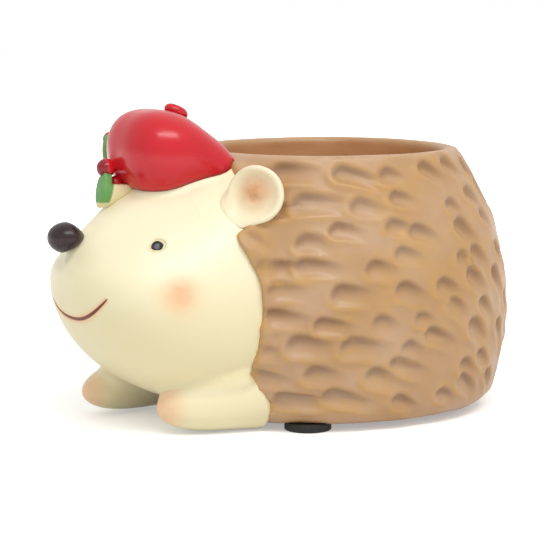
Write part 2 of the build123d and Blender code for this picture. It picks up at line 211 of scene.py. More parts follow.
class PlanterTrim(PropertyGroup):
    """Sizes of the cap, berries, leaves and pads."""
    cap_grain: length("Cap grain", "Size of the faces of the cap", 0.5)
    crown_gap: length("Crown gap", "Distance from the head over which the crown is smoothed", 3.0)
    # Distances from the head over which painted shade darkens the cap
    tuck_reach: length("Tuck reach", "Distance from the head where the darker red begins", 1.5)
    tuck_full: length("Tuck full", "Distance from the head where the darker red is full", 0.3)
    button_half_length: length("Button half length", "Half length of the button", 4.2)
    button_half_height: length("Button half height", "Half height of the button", 2.4)
    button_tilt: FloatProperty(name="Button tilt", description="Tilt of the button to the rear",
                               default=math.radians(-25), subtype="ANGLE")
    berry_grain: length("Berry grain", "Size of the faces of a berry", 0.22)
    berry_edge: length("Berry edge", "Half width of the soft edge of a berry's dark face", 0.5)
    leaf_grain: length("Leaf grain", "Size of the faces of a leaf", 0.25)
    leaf_seat: length("Leaf seat", "Depth that a leaf's rear is let into the brow", 0.3)
    leaf_reach: length("Leaf reach", "Furthest that a leaf's rear is drawn back", 9.0)
    border_start: length("Border start", "Distance off the blade where the cream border begins", 0.25)
    border_full: length("Border full", "Distance off the blade where the cream border is full", 0.6)
    tip_start: length("Tip start", "Height over a leaf's tip where its cream end begins", 2.2)
    tip_full: length("Tip full", "Height over a leaf's tip where its cream end is full", 1.4)
    pad_round: length("Pad round", "Radius of a pad's rounded edges", 0.5)


class PlanterPaint(PropertyGroup):
    """Colours of the paints."""
    cream: paint("Cream", "Face, paws and ears", "#F3EBCA")
    # Cream shade is also the colour of painted shade: low on the head and legs, in the eye rings and beside
    # the chest
    cream_shade: paint("Cream shade", "Thin yellow wash low down and in hollows", "#E0D093")
    peach: paint("Peach", "Airbrushed blush", "#F2AE80")
    ear: paint("Ear", "Airbrushed tan in the ears", "#C9854A")
    mouth: paint("Mouth", "Carved line of the mouth", "#84391F")
    coat: paint("Coat", "Brown of the coat", "#B48B60")
    # Colours of the painted shade on the upper walls of the dents, greyer in some
    coat_recess: paint("Coat recess", "Darker wash in the dents", "#85603F")
    coat_grey: paint("Coat grey", "Greyer wash in some of the dents", "#8F7660")
    # Coat ochre is also a painted highlight where the ochre mask puts it on the ridges and the coat's edge
    coat_ochre: paint("Coat ochre", "Dry brushed ochre on the ridges", "#C29553")
    # Pinkish tan patches at random, and also the colour of the painted highlight along the rim
    coat_tan: paint("Coat tan", "Pinkish tan on the high places", "#C6A587")
    coat_inside: paint("Coat inside", "Redder brown of the well", "#BC8654")
    red: paint("Red", "Cap, button and berries", "#CB1A25")
    # Red shade is also the colour of painted shade where the cap tucks in
    red_shade: paint("Red shade", "Darker red where the cap tucks in", "#841722")
    leaf: paint("Leaf", "Green of the leaves", "#5C9A4B")
    leaf_pale: paint("Leaf pale", "Thin streaks of the green", "#7DAA68")
    leaf_border: paint("Leaf border", "Cream border of the leaves", "#EAE0B2")
    nose: paint("Nose", "Dark plum brown of the nose", "#241216")
    nose_bloom: paint("Nose bloom", "Lighter bloom on the nose", "#412A2F")
    eye: paint("Eye", "Black of the eyes", "#16161A")
    eye_bloom: paint("Eye bloom", "Lighter bloom on the eyes", "#2E2D36")
    # Painted glint on the eyes
    eye_dot: paint("Eye dot", "Violet grey dot on the eyes", "#77727F")
    rubber: paint("Rubber", "Black of the pads", "#100D0C")
    dust: paint("Dust", "Dust on the pads", "#8E8070")
    floor: paint("Floor", "Pale floor", "#F4F4F4")
    floor_speckle: paint("Floor speckle", "Faint speckle of the floor", "#E7E7E7")


class PlanterStage(PropertyGroup):
    """Camera and light."""
    azimuth: FloatProperty(name="Azimuth", description="Turn of the camera from the animal's front",
                           default=math.radians(60.19), subtype="ANGLE")
    elevation: FloatProperty(name="Elevation", description="Tilt of the camera above level",
                             default=math.radians(7.7), subtype="ANGLE")
    distance: length("Distance", "Distance from the camera to the point that it aims at", 757.2)
    aim_side: length("Aim side", "Sideways place that the camera aims at", -8.02)
    aim_forward: length("Aim forward", "Distance before the pot's axis that the camera aims at", 13.36)
    aim_height: length("Aim height", "Height that the camera aims at", 44.0)
    clip_start: length("Clip start", "Nearest distance that the camera sees", 10.0)
    floor_half: length("Floor half", "Half size of the floor", 3000)
    lens: FloatProperty(name="Lens", description="Focal length on a 36 mm sensor", default=146.03,
                        unit="CAMERA")
    fill: FloatProperty(name="Fill", description="Strength of the white light from level", default=0.62)
    overhead: FloatProperty(name="Overhead", description="Strength of the white light from straight above",
                            default=0.84)
    key: FloatProperty(name="Key", description="Power of the soft lamp", default=2.3, unit="POWER")
    key_width: length("Key width", "Width of the soft lamp", 600)
    key_depth: length("Key depth", "Depth of the soft lamp", 150)
    key_back: length("Key back", "Distance of the lamp towards the camera", 380)
    key_right: length("Key right", "Distance of the lamp to the camera's right", 150)
    key_up: length("Key up", "Height of the lamp over the point that the camera aims at", 500)


# Meshes

def merged_copy(node):
    """Bmesh of a solid's shape with its loose triangles joined."""
    shape = bmesh.new()
    shape.from_mesh(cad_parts[node].data)
    bmesh.ops.remove_doubles(shape, verts=shape.verts, dist=MERGE_DISTANCE)
    return shape


def to_mesh(shape, name):
    """Ends a bmesh as a mesh."""
    mesh = bpy.data.meshes.new(name)
    shape.to_mesh(mesh)
    shape.free()
    return mesh


def even_skin(shape, grain):
    """Mesh of a closed shape with even small faces, fit to be carved."""
    mesh = to_mesh(shape, "skin")
    holder = bpy.data.objects.new("skin", mesh)
    bpy.context.scene.collection.objects.link(holder)
    remesh = holder.modifiers.new("skin", "REMESH")
    remesh.mode = "VOXEL"
    remesh.voxel_size = grain
    bpy.context.view_layer.update()
    depsgraph = bpy.context.evaluated_depsgraph_get()
    skin = bpy.data.meshes.new_from_object(holder.evaluated_get(depsgraph))
    bpy.data.objects.remove(holder)
    bpy.data.meshes.remove(mesh)
    return skin


def read(mesh, what):
    """Places or normals of a mesh's points as rows of an array."""
    values = np.empty(len(mesh.vertices) * 3, np.float32)
    mesh.vertices.foreach_get(what, values)
    return values.reshape(-1, 3).astype(float)


def write(mesh, points):
    """Moves a mesh's points to the rows of an array."""
    mesh.vertices.foreach_set("co", points.astype(np.float32).ravel())
    mesh.update()


def whole(mesh):
    """Choice of all the points of a mesh."""
    return np.ones(len(mesh.vertices), bool)


def relax(mesh, chosen, rounds):
    """Smooths the chosen points of a mesh."""
    shape = bmesh.new()
    shape.from_mesh(mesh)
    verts = [vert for vert, keep in zip(shape.verts, chosen) if keep]
    for _ in range(rounds):
        bmesh.ops.smooth_vert(shape, verts=verts, factor=0.5, use_axis_x=True, use_axis_y=True,
                              use_axis_z=True)
    shape.to_mesh(mesh)
    shape.free()


def refine(mesh, chosen, cuts):
    """Divides the faces among the chosen points, so that finer lines can be carved there."""
    shape = bmesh.new()
    shape.from_mesh(mesh)
    kept = {vert for vert, keep in zip(shape.verts, chosen) if keep}
    edges = [edge for edge in shape.edges if edge.verts[0] in kept and edge.verts[1] in kept]
    bmesh.ops.subdivide_edges(shape, edges=edges, cuts=cuts, use_grid_fill=True)
    shape.to_mesh(mesh)
    shape.free()


def surface_of(mesh):
    """Tree of a mesh's faces for finding the nearest place or the place that a ray meets."""
    shape = bmesh.new()
    shape.from_mesh(mesh)
    tree = BVHTree.FromBMesh(shape)
    shape.free()
    return tree


def gaps_to(points, tree, reach):
    """Distance of each point from a surface, and reach where it is further."""
    found = (tree.find_nearest(point, reach)[3] for point in points.tolist())
    return np.array([reach if distance is None else distance for distance in found])


def smooth_step(start, end, values):
    """Share that eases from 0 at the start to 1 at the end."""
    share = np.clip((values - start) / (end - start), 0, 1)
    return share * share * (3 - 2 * share)


def mask(mesh, name, values):
    """Keeps a value from 0 to 1 on each point for the paint to read."""
    layer = mesh.attributes.new(name, "FLOAT", "POINT")
    layer.data.foreach_set("value", np.clip(values, 0, 1).astype(np.float32))


def place(mesh, name, make, slot, *nodes):
    """Makes a piece of a mesh in place of solids, in the paint that a maker gives."""
    piece = bpy.data.objects.new(name, mesh)
    bpy.context.scene.collection.objects.link(piece)
    mesh.materials.clear()
    mesh.materials.append(bpy.data.materials.get(make.__name__) or make(bpy.context.scene.planter_paint))
    mesh.shade_smooth()
    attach(piece, "root")
    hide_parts(*nodes)
    return piece


def flare(mesh, ground, radius):
    """Spreads a piece into a fillet where it meets a surface, and seats its edge in that surface."""
    points = read(mesh, "co")
    normals = read(mesh, "normal")
    for index, (point, normal) in enumerate(zip(points.tolist(), normals.tolist())):
        found, away, _, gap = ground.find_nearest(point, radius)
        if found is None:
            continue
        out = Vector(normal)
        if out.dot(away) < -0.6:
            continue
        spread = radius - math.sqrt(radius ** 2 - (radius - gap) ** 2)
        sideways = (out - away * out.dot(away)).normalized()
        moved = Vector(point) + sideways * spread
        height = (Vector(point) - found).dot(away)
        seat, seat_away, _, _ = ground.find_nearest(moved)
        seated = seat + seat_away * (height if height > SEAT_EDGE else -SEAT_SINK)
        points[index] = seated
    write(mesh, points)


# Paints

def add(tree, kind, inputs=None, **settings):
    """Adds a node with its settings; an input takes a value, another node or one of its sockets."""
    node = tree.nodes.new(kind)
    for name, value in settings.items():
        setattr(node, name, value)
    for name, value in (inputs or {}).items():
        socket = node.inputs[name] if isinstance(name, int) else next(
            each for each in node.inputs if each.enabled and each.name == name)
        if isinstance(value, bpy.types.Node):
            value = next(each for each in value.outputs if each.enabled)
        if isinstance(value, bpy.types.NodeSocket):
            tree.links.new(value, socket)
        else:
            socket.default_value = value
    return node


def new_material(name):
    """Empty material with its tree and Object coordinates."""
    material = bpy.data.materials.new(name)
    material.use_nodes = True
    tree = material.node_tree
    tree.nodes.clear()
    return material, tree, add(tree, "ShaderNodeTexCoord").outputs["Object"]


def cream_painted_resin(paints):
    """Cast resin sprayed cream under satin varnish: even and chalky, with airbrushed blush and painted shade
    low down, round the eyes and beside the legs.
    """
    material, tree, spot = new_material("cream_painted_resin")
    clouds = add(tree, "ShaderNodeTexNoise", {"Vector": spot, "Scale": 1 / (34 * MM)})
    thin = add(tree, "ShaderNodeMapRange", {
        "Value": clouds, "From Min": 0.35, "From Max": 0.7, "To Max": 0.2})
    colour = add(tree, "ShaderNodeMix", {"Factor": thin, "A": paints.cream, "B": paints.cream_shade},
                 data_type="RGBA")
    # Painted shade from the shade mask: darker low down, in the eye rings and beside the chest
    hollow = add(tree, "ShaderNodeAttribute", attribute_name="shade").outputs["Fac"]
    colour = add(tree, "ShaderNodeMix", {"Factor": hollow, "A": colour, "B": paints.cream_shade},
                 data_type="RGBA")
    droplets = add(tree, "ShaderNodeTexNoise", {"Vector": spot, "Scale": 1 / (2.4 * MM), "Detail": 3.0})
    speckle = add(tree, "ShaderNodeMapRange", {
        "Value": droplets, "From Min": 0.3, "From Max": 0.7, "To Min": 0.75})
    for airbrushed, tint in (("blush", paints.peach), ("ear", paints.ear)):
        share = add(tree, "ShaderNodeAttribute", attribute_name=airbrushed).outputs["Fac"]
        share = add(tree, "ShaderNodeMath", {0: share, 1: speckle}, operation="MULTIPLY")
        colour = add(tree, "ShaderNodeMix", {"Factor": share, "A": colour, "B": tint}, data_type="RGBA")
    carved = add(tree, "ShaderNodeAttribute", attribute_name="mouth").outputs["Fac"]
    colour = add(tree, "ShaderNodeMix", {"Factor": carved, "A": colour, "B": paints.mouth}, data_type="RGBA")
    varnish = add(tree, "ShaderNodeTexNoise", {"Vector": spot, "Scale": 1 / (9 * MM), "Detail": 3.0})
    gloss = add(tree, "ShaderNodeMapRange", {
        "Value": varnish, "From Min": 0.3, "From Max": 0.7, "To Min": 0.36, "To Max": 0.46})
    pores = add(tree, "ShaderNodeTexNoise", {
        "Vector": spot, "Scale": 1 / (1.6 * MM), "Detail": 3.0, "Roughness": 0.6})
    bump = add(tree, "ShaderNodeBump", {"Height": pores, "Distance": 0.03 * MM})
    shader = add(tree, "ShaderNodeBsdfPrincipled", {
        "Base Color": colour, "Roughness": gloss, "IOR": 1.5, "Normal": bump})
    add(tree, "ShaderNodeOutputMaterial", {"Surface": shader})
    return material


def brown_resin_with_painted_shade(paints):
    """Cast resin brushed brown, satin, with painted shade on the upper walls of its dents, ochre dry brush
    with a painted highlight on its ridges and edge, and a painted highlight along the rim.
    """
    material, tree, spot = new_material("brown_resin_with_painted_shade")
    patches = add(tree, "ShaderNodeTexNoise", {"Vector": spot, "Scale": 1 / (26 * MM), "Detail": 3.0})
    share = add(tree, "ShaderNodeMapRange", {
        "Value": patches, "From Min": 0.38, "From Max": 0.66, "To Max": 0.6})
    colour = add(tree, "ShaderNodeMix", {"Factor": share, "A": paints.coat, "B": paints.coat_tan},
                 data_type="RGBA")
    patches = add(tree, "ShaderNodeTexNoise", {
        "Vector": spot, "Scale": 1 / (15 * MM), "Detail": 4.0, "Roughness": 0.6})
    share = add(tree, "ShaderNodeMapRange", {
        "Value": patches, "From Min": 0.5, "From Max": 0.68, "To Max": 0.45})
    colour = add(tree, "ShaderNodeMix", {"Factor": share, "A": colour, "B": paints.coat_ochre},
                 data_type="RGBA")
    patches = add(tree, "ShaderNodeTexNoise", {"Vector": spot, "Scale": 1 / (30 * MM), "Detail": 1.0})
    share = add(tree, "ShaderNodeMapRange", {"Value": patches, "From Min": 0.42, "From Max": 0.6})
    # Colour of the painted shade in the dents, greyer in places
    painted_shade = add(tree, "ShaderNodeMix", {"Factor": share, "A": paints.coat_recess, "B": paints.coat_grey},
               data_type="RGBA")
    for inside_and_shade, tint in (("inside", paints.coat_inside), ("recess", painted_shade)):
        share = add(tree, "ShaderNodeAttribute", attribute_name=inside_and_shade).outputs["Fac"]
        colour = add(tree, "ShaderNodeMix", {"Factor": share, "A": colour, "B": tint}, data_type="RGBA")
    bristles = add(tree, "ShaderNodeTexNoise", {
        "Vector": spot, "Scale": 1 / (3.5 * MM), "Detail": 4.0, "Roughness": 0.65})
    streaks = add(tree, "ShaderNodeMapRange", {"Value": bristles, "From Min": 0.36, "From Max": 0.62})
    # Ochre with its painted highlight on the ridges, and the painted highlight on the rim, both broken by
    # brush streaks
    for brushed, tint in (("ochre", paints.coat_ochre), ("lit", paints.coat_tan)):
        share = add(tree, "ShaderNodeAttribute", attribute_name=brushed).outputs["Fac"]
        share = add(tree, "ShaderNodeMath", {0: share, 1: streaks}, operation="MULTIPLY")
        colour = add(tree, "ShaderNodeMix", {"Factor": share, "A": colour, "B": tint}, data_type="RGBA")
    varnish = add(tree, "ShaderNodeTexNoise", {"Vector": spot, "Scale": 1 / (7 * MM), "Detail": 3.0})
    gloss = add(tree, "ShaderNodeMapRange", {
        "Value": varnish, "From Min": 0.3, "From Max": 0.7, "To Min": 0.36, "To Max": 0.5})
    pores = add(tree, "ShaderNodeTexNoise", {
        "Vector": spot, "Scale": 1 / (1.8 * MM), "Detail": 4.0, "Roughness": 0.65})
    bump = add(tree, "ShaderNodeBump", {"Height": pores, "Distance": 0.08 * MM})
    shader = add(tree, "ShaderNodeBsdfPrincipled", {
        "Base Color": colour, "Roughness": gloss, "IOR": 1.5, "Normal": bump})
    add(tree, "ShaderNodeOutputMaterial", {"Surface": shader})
    return material


def red_varnished_resin(paints):
    """Cast resin painted red under a fuller varnish: a broad soft shine, painted shade where the cap tucks
    in against the head, and each berry's own darker front face.
    """
    material, tree, spot = new_material("red_varnished_resin")
    clouds = add(tree, "ShaderNodeTexNoise", {"Vector": spot, "Scale": 1 / (14 * MM), "Detail": 3.0})
    thick = add(tree, "ShaderNodeMapRange", {
        "Value": clouds, "From Min": 0.35, "From Max": 0.7, "To Max": 0.16})
    colour = add(tree, "ShaderNodeMix", {"Factor": thick, "A": paints.red, "B": paints.red_shade},
                 data_type="RGBA")
    # Painted shade where the cap tucks in against the head; on the berries, their own dark front faces
    tuck = add(tree, "ShaderNodeAttribute", attribute_name="tuck").outputs["Fac"]
    colour = add(tree, "ShaderNodeMix", {"Factor": tuck, "A": colour, "B": paints.red_shade},
                 data_type="RGBA")
    varnish = add(tree, "ShaderNodeTexNoise", {"Vector": spot, "Scale": 1 / (6 * MM), "Detail": 3.0})
    gloss = add(tree, "ShaderNodeMapRange", {
        "Value": varnish, "From Min": 0.3, "From Max": 0.7, "To Min": 0.21, "To Max": 0.26})
    drips = add(tree, "ShaderNodeTexNoise", {
        "Vector": spot, "Scale": 1 / (2.2 * MM), "Detail": 3.0, "Roughness": 0.6})
    bump = add(tree, "ShaderNodeBump", {"Height": drips, "Distance": 0.04 * MM})
    shader = add(tree, "ShaderNodeBsdfPrincipled", {
        "Base Color": colour, "Roughness": gloss, "IOR": 1.44, "Normal": bump})
    add(tree, "ShaderNodeOutputMaterial", {"Surface": shader})
    return material


def gloss_enamel(name, colour, bloom_colour, glint_colour, roughness):
    """Gloss enamel, thick enough to level itself, with a faint lighter bloom, orange peel and a painted
    glint where the piece has a dot mask.
    """
    material, tree, spot = new_material(name)
    clouds = add(tree, "ShaderNodeTexNoise", {"Vector": spot, "Scale": 1 / (3 * MM), "Detail": 3.0})
    bloom = add(tree, "ShaderNodeMapRange", {
        "Value": clouds, "From Min": 0.3, "From Max": 0.75, "To Max": 0.6})
    tint = add(tree, "ShaderNodeMix", {"Factor": bloom, "A": colour, "B": bloom_colour}, data_type="RGBA")
    # Painted glint from the dot mask
    dot = add(tree, "ShaderNodeAttribute", attribute_name="dot").outputs["Fac"]
    tint = add(tree, "ShaderNodeMix", {"Factor": dot, "A": tint, "B": glint_colour}, data_type="RGBA")
    ripples = add(tree, "ShaderNodeTexNoise", {"Vector": spot, "Scale": 1 / (2 * MM)})
    gloss = add(tree, "ShaderNodeMapRange", {
        "Value": ripples, "From Min": 0.3, "From Max": 0.7,
        "To Min": roughness * 0.8, "To Max": roughness * 1.2})
    peel = add(tree, "ShaderNodeTexNoise", {"Vector": spot, "Scale": 1 / (0.9 * MM)})
    bump = add(tree, "ShaderNodeBump", {"Height": peel, "Distance": 0.02 * MM})
    shader = add(tree, "ShaderNodeBsdfPrincipled", {
        "Base Color": tint, "Roughness": gloss, "IOR": 1.42, "Normal": bump})
    add(tree, "ShaderNodeOutputMaterial", {"Surface": shader})
    return material


def plum_gloss_enamel(paints):
    """Dark plum enamel of the nose, with a soft shine."""
    return gloss_enamel("plum_gloss_enamel", paints.nose, paints.nose_bloom, paints.nose_bloom, 0.3)


def black_gloss_enamel(paints):
    """Black enamel of the eyes, with a violet grey dot on each as a painted glint."""
    return gloss_enamel("black_gloss_enamel", paints.eye, paints.eye_bloom, paints.eye_dot, 0.3)


def green_painted_resin(paints):
    """Cast leaf painted green and left cream along its border, satin, with brushed streaks."""
    material, tree, spot = new_material("green_painted_resin")
    brush = add(tree, "ShaderNodeTexNoise", {"Vector": spot, "Scale": 1 / (3 * MM), "Detail": 3.0})
    thin = add(tree, "ShaderNodeMapRange", {
        "Value": brush, "From Min": 0.35, "From Max": 0.7, "To Max": 0.5})
    colour = add(tree, "ShaderNodeMix", {"Factor": thin, "A": paints.leaf, "B": paints.leaf_pale},
                 data_type="RGBA")
    border = add(tree, "ShaderNodeAttribute", attribute_name="border").outputs["Fac"]
    colour = add(tree, "ShaderNodeMix", {"Factor": border, "A": colour, "B": paints.leaf_border},
                 data_type="RGBA")
    streaks = add(tree, "ShaderNodeTexNoise", {"Vector": spot, "Scale": 1 / (1.2 * MM), "Detail": 3.0})
    bump = add(tree, "ShaderNodeBump", {"Height": streaks, "Distance": 0.06 * MM})
    shader = add(tree, "ShaderNodeBsdfPrincipled", {
        "Base Color": colour, "Roughness": 0.45, "IOR": 1.5, "Normal": bump})
    add(tree, "ShaderNodeOutputMaterial", {"Surface": shader})
    return material


def black_moulded_rubber(paints):
    """Moulded rubber foot: black, matt and slightly dusty."""
    material, tree, spot = new_material("black_moulded_rubber")
    specks = add(tree, "ShaderNodeTexNoise", {"Vector": spot, "Scale": 1 / (2 * MM), "Detail": 4.0})
    dust = add(tree, "ShaderNodeMapRange", {
        "Value": specks, "From Min": 0.45, "From Max": 0.75, "To Max": 0.03})
    colour = add(tree, "ShaderNodeMix", {"Factor": dust, "A": paints.rubber, "B": paints.dust},
                 data_type="RGBA")
    grit = add(tree, "ShaderNodeTexNoise", {"Vector": spot, "Scale": 1 / (0.5 * MM), "Detail": 3.0})
    bump = add(tree, "ShaderNodeBump", {"Height": grit, "Distance": 0.04 * MM})
    shader = add(tree, "ShaderNodeBsdfPrincipled", {"Base Color": colour, "Roughness": 0.62, "Normal": bump})
    add(tree, "ShaderNodeOutputMaterial", {"Surface": shader})
    return material


# Pieces

class PLANTER_OT_head(Operator):
    """Carve the cream head with its mouth, eye seats and blush"""
    bl_idname = "planter.head"
    bl_label = "Head"

    def execute(self, context):
        sizes = context.scene.planter_face
        skin = head_skin(sizes)
        carve_face(skin, sizes)
        place(skin, "cream_head", cream_painted_resin, "face_resin", "head")
        return {"FINISHED"}


def head_skin(sizes):
    """Mesh of the head with its brow pressed in, risen to the cap and the nose."""
    shape = merged_copy("head")
    seat = nose_seat()
    fill_socket(shape, seat, sizes)
    skin = even_skin(shape, sizes.skin_grain)
    relax(skin, whole(skin), rounds=4)
    from_seat = gaps_between(read(skin, "co"), [seat])
    relax(skin, from_seat < sizes.socket_zone, rounds=30)
    write(skin, hollow_brow(read(skin, "co"), sizes))
    cap = merged_copy("cap")
    rise_to(skin, BVHTree.FromBMesh(cap), sizes.cap_fillet, sizes.fillet_wave)
    cap.free()
    nose = surface_of(bpy.data.objects["nose_knob"].data)
    rise_to(skin, nose, sizes.nose_fillet, sizes.fillet_wave)
    return skin


def gaps_between(points, spots):
    """Distance of each point from the nearest of a few spots."""
    return np.min([np.linalg.norm(points - np.array(spot), axis=1) for spot in spots], axis=0)


def carve_face(skin, sizes):
    """Carves the mouth and the rings round the eyes, and masks the head's blush and its painted shade,
    darker low down and in the rings round the eyes.
    """
    mouth = mouth_line(surface_of(skin), sizes)
    eyes = [eye_centre(side, sign) for side, sign in SIDES]
    near_mouth = gaps_between(read(skin, "co"), [spot for spot, _ in mouth])
    near_eyes = gaps_between(read(skin, "co"), eyes)
    refine(skin, (near_mouth < sizes.mouth_zone) | (near_eyes < sizes.eye_zone), cuts=2)

    points = read(skin, "co")
    normals = read(skin, "normal")
    gaps = np.array([np.linalg.norm(points - spot, axis=1) for spot, _ in mouth])
    gap = gaps.min(axis=0)
    thickness = np.array([share for _, share in mouth])[gaps.argmin(axis=0)]
    half = sizes.mouth_width / 2 * thickness
    groove = np.clip(1 - (gap / half) ** 2, 0, 1) ** 1.5
    front = normals[:, 1] < -0.2
    ring = np.exp(-((gaps_between(points, eyes) - sizes.eye_seat) / sizes.eye_ring) ** 2)
    sunk = (groove * sizes.mouth_depth * thickness + sizes.eye_seat_depth * ring) * front
    write(skin, points - normals * sunk[:, None])

    cheeks = [off_axis(sign * sizes.cheek_side, -sizes.cheek_forward, sizes.cheek_height)
              for _, sign in SIDES]
    cheek_blush = np.exp(-(gaps_between(points, cheeks) / sizes.cheek_blush) ** 2)
    lip_blush = np.exp(-((gap - half * 1.3) / sizes.lip_blush) ** 2) * front * (thickness > 0.3)
    mask(skin, "blush", cheek_blush * 0.95 + lip_blush * 0.5)
    mask(skin, "mouth", smooth_step(1.05, 0.55, gap / half) * front)
    # Painted shade: darker and yellower towards the bottom of the head and in the rings round the eyes
    low_shade = smooth_step(sizes.wash_top, sizes.wash_full, points[:, 2]) * 0.4
    mask(skin, "shade", np.maximum(ring * 0.6, low_shade))


def mouth_line(surface, sizes):
    """Places along the mouth's smile on the muzzle, each with the carved line's share of full width."""
    spots = []
    for step in np.linspace(-1, 1, 141):
        x = step * sizes.mouth_half_span
        height = sizes.mouth_height + sizes.mouth_rise * abs(step) ** 2.3
        found = surface.ray_cast(Vector((x, -WELL_CLEAR_OF_POT, height)), Vector((0, 1, 0)))[0]
        spots.append((np.array(found), 0.3 + 0.7 * math.sqrt(max(0.0, 1 - step ** 4))))
    return spots


def hollow_brow(points, sizes):
    """Places of points after the brow over the nose is pressed back."""
    across = points[:, 0] / sizes.brow_half_width
    up = (points[:, 2] - sizes.brow_height) / sizes.brow_half_height
    front = points[:, 1] < POT_AXIS.y - sizes.brow_forward
    pressed = points.copy()
    pressed[:, 1] += sizes.brow_hollow * np.exp(-across ** 2 - up ** 2) * front
    return pressed


def rise_to(skin, piece, width, wave_length):
    """Lifts the skin in an uneven fillet along the edge of a piece that sits on it."""
    points = read(skin, "co")
    normals = read(skin, "normal")
    gaps = gaps_to(points, piece, width)
    for index in np.nonzero((gaps < width) & (points[:, 1] < POT_AXIS.y - NECK_FORWARD))[0]:
        wave = 0.45 + 0.3 * noise.noise(Vector(points[index]) / wave_length)
        points[index] += normals[index] * width * (1 - gaps[index] / width) ** 2 * wave
    write(skin, points)


def nose_seat():
    """Place on the muzzle behind the middle of the nose."""
    low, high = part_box("nose")
    return Vector((0, low.y + NOSE_HALF_DEPTH + NOSE_MIDDLE_TO_SEAT, (low.z + high.z) / 2))


def fill_socket(shape, seat, sizes):
    """Fills the head's socket for the nose's peg, which only the solids need."""
    middle_of_plug = seat + Vector((0, sizes.socket_depth / 2 + sizes.socket_sink, 0))
    bmesh.ops.create_cone(
        shape, cap_ends=True, segments=32, radius1=sizes.socket_radius, radius2=sizes.socket_radius,
        depth=sizes.socket_depth,
        matrix=Matrix.Translation(middle_of_plug) @ Matrix.Rotation(math.pi / 2, 4, "X"))


def eye_centre(side, sign):
    """Middle of an eye's bead, whose peg lies behind it."""
    low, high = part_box("eye_" + side)
    x = high.x - EYE_RADIUS if sign > 0 else low.x + EYE_RADIUS
    return Vector((x, low.y + EYE_RADIUS, high.z - EYE_RADIUS))


class PLANTER_OT_forelegs(Operator):
    """Shape the forelegs and blend them into the chest"""
    bl_idname = "planter.forelegs"
    bl_label = "Forelegs"

    def execute(self, context):
        sizes = context.scene.planter_face
        head = bpy.data.objects["cream_head"].data
        chest = surface_of(head)
        coat = merged_copy("quill_pot")
        flank = BVHTree.FromBMesh(coat)
        coat.free()
        for side, _ in SIDES:
            skin = even_skin(merged_copy("foreleg_" + side), sizes.leg_grain)
            relax(skin, whole(skin), rounds=4)
            leg = surface_of(skin)
            sink_into(skin, flank, sizes)
            relax(skin, whole(skin), rounds=3)
            swell_to(skin, chest, sizes.leg_fillet)
            swell_to(head, leg, sizes.leg_fillet)
            points = read(skin, "co")
            behind_tip = points[:, 1] - points[:, 1].min()
            blush = smooth_step(sizes.paw_blush, sizes.paw_blush_full, behind_tip)
            mask(skin, "blush", blush * smooth_step(0, sizes.sole_pale, points[:, 2]) * 0.6)
            # Painted shade: darker and yellower in the crease beside the chest and towards the bottom of the
            # leg
            shade_by_chest = smooth_step(sizes.leg_shade, 0, gaps_to(points, chest, sizes.leg_shade)) * 0.4
            low_shade = smooth_step(sizes.leg_wash_top, sizes.leg_wash_full, points[:, 2]) * 0.3
            mask(skin, "shade", np.maximum(low_shade, shade_by_chest))
            place(skin, side + "_foreleg", cream_painted_resin, "face_resin", "foreleg_" + side)
        return {"FINISHED"}


def sink_into(skin, ground, sizes):
    """Draws a leg's end on into the surface that it stops at, so that the seam is clean."""
    points = read(skin, "co")
    for index, point in enumerate(points.tolist()):
        found, away, _, gap = ground.find_nearest(point, sizes.seam_reach)
        if found is not None:
            share = smooth_step(sizes.seam_reach, sizes.seam_sunk, gap)
            points[index] -= np.array(away) * sizes.leg_sink * share
    write(skin, points)


def swell_to(skin, piece, width):
    """Swells the skin towards a piece in a fillet."""
    points = read(skin, "co")
    gaps = gaps_to(points, piece, width)
    write(skin, points + read(skin, "normal") * (width / 2 * (1 - gaps / width) ** 2)[:, None])


class PLANTER_OT_ears(Operator):
    """Shape the dished ears and blend them into the head"""
    bl_idname = "planter.ears"
    bl_label = "Ears"

    def execute(self, context):
        sizes = context.scene.planter_face
        scalp = surface_of(bpy.data.objects["cream_head"].data)
        for side, sign in SIDES:
            skin = even_skin(merged_copy("ear_" + side), sizes.ear_grain)
            relax(skin, whole(skin), rounds=90)
            write(skin, lean_ear(read(skin, "co"), sign, sizes))
            flare(skin, scalp, sizes.ear_fillet)
            relax(skin, whole(skin), rounds=8)
            points = read(skin, "co")
            dish = np.array(off_axis(sign * sizes.ear_side, -sizes.ear_forward, sizes.ear_height))
            mask(skin, "ear", np.exp(-(np.linalg.norm(points - dish, axis=1) / sizes.ear_blush) ** 2))
            place(skin, side + "_ear", cream_painted_resin, "face_resin", "ear_" + side)
        return {"FINISHED"}


def lean_ear(points, sign, sizes):
    """Places of an ear's points after its dish is filled and its front edge is sunk into the head."""
    centre = points.mean(axis=0)
    axes = np.linalg.svd(points - centre, full_matrices=False)[2]
    outward = axes[2] * math.copysign(1, axes[2][0] * sign)
    rise = (points - centre) @ outward
    radius = np.linalg.norm(points - centre - rise[:, None] * outward, axis=1)
    moved = sizes.ear_fill * np.exp(-(radius / sizes.ear_dish) ** 2) * (rise > -sizes.ear_back)
    moved -= sizes.ear_sink * smooth_step(-sizes.ear_upright, sizes.ear_lean, centre[1] - points[:, 1])
    return points + outward * moved[:, None]


class PLANTER_OT_coat(Operator):
    """Carve the pot's coat into quills"""
    bl_idname = "planter.coat"
    bl_label = "Quilled coat"

    def execute(self, context):
        sizes = context.scene.planter_coat
        skin = even_skin(merged_copy("quill_pot"), sizes.skin_grain)
        smooth_barrel(skin, sizes)
        carve_quills(skin, sizes)
        place(skin, "quilled_coat", brown_resin_with_painted_shade, "coat_resin", "quill_pot")
        return {"FINISHED"}


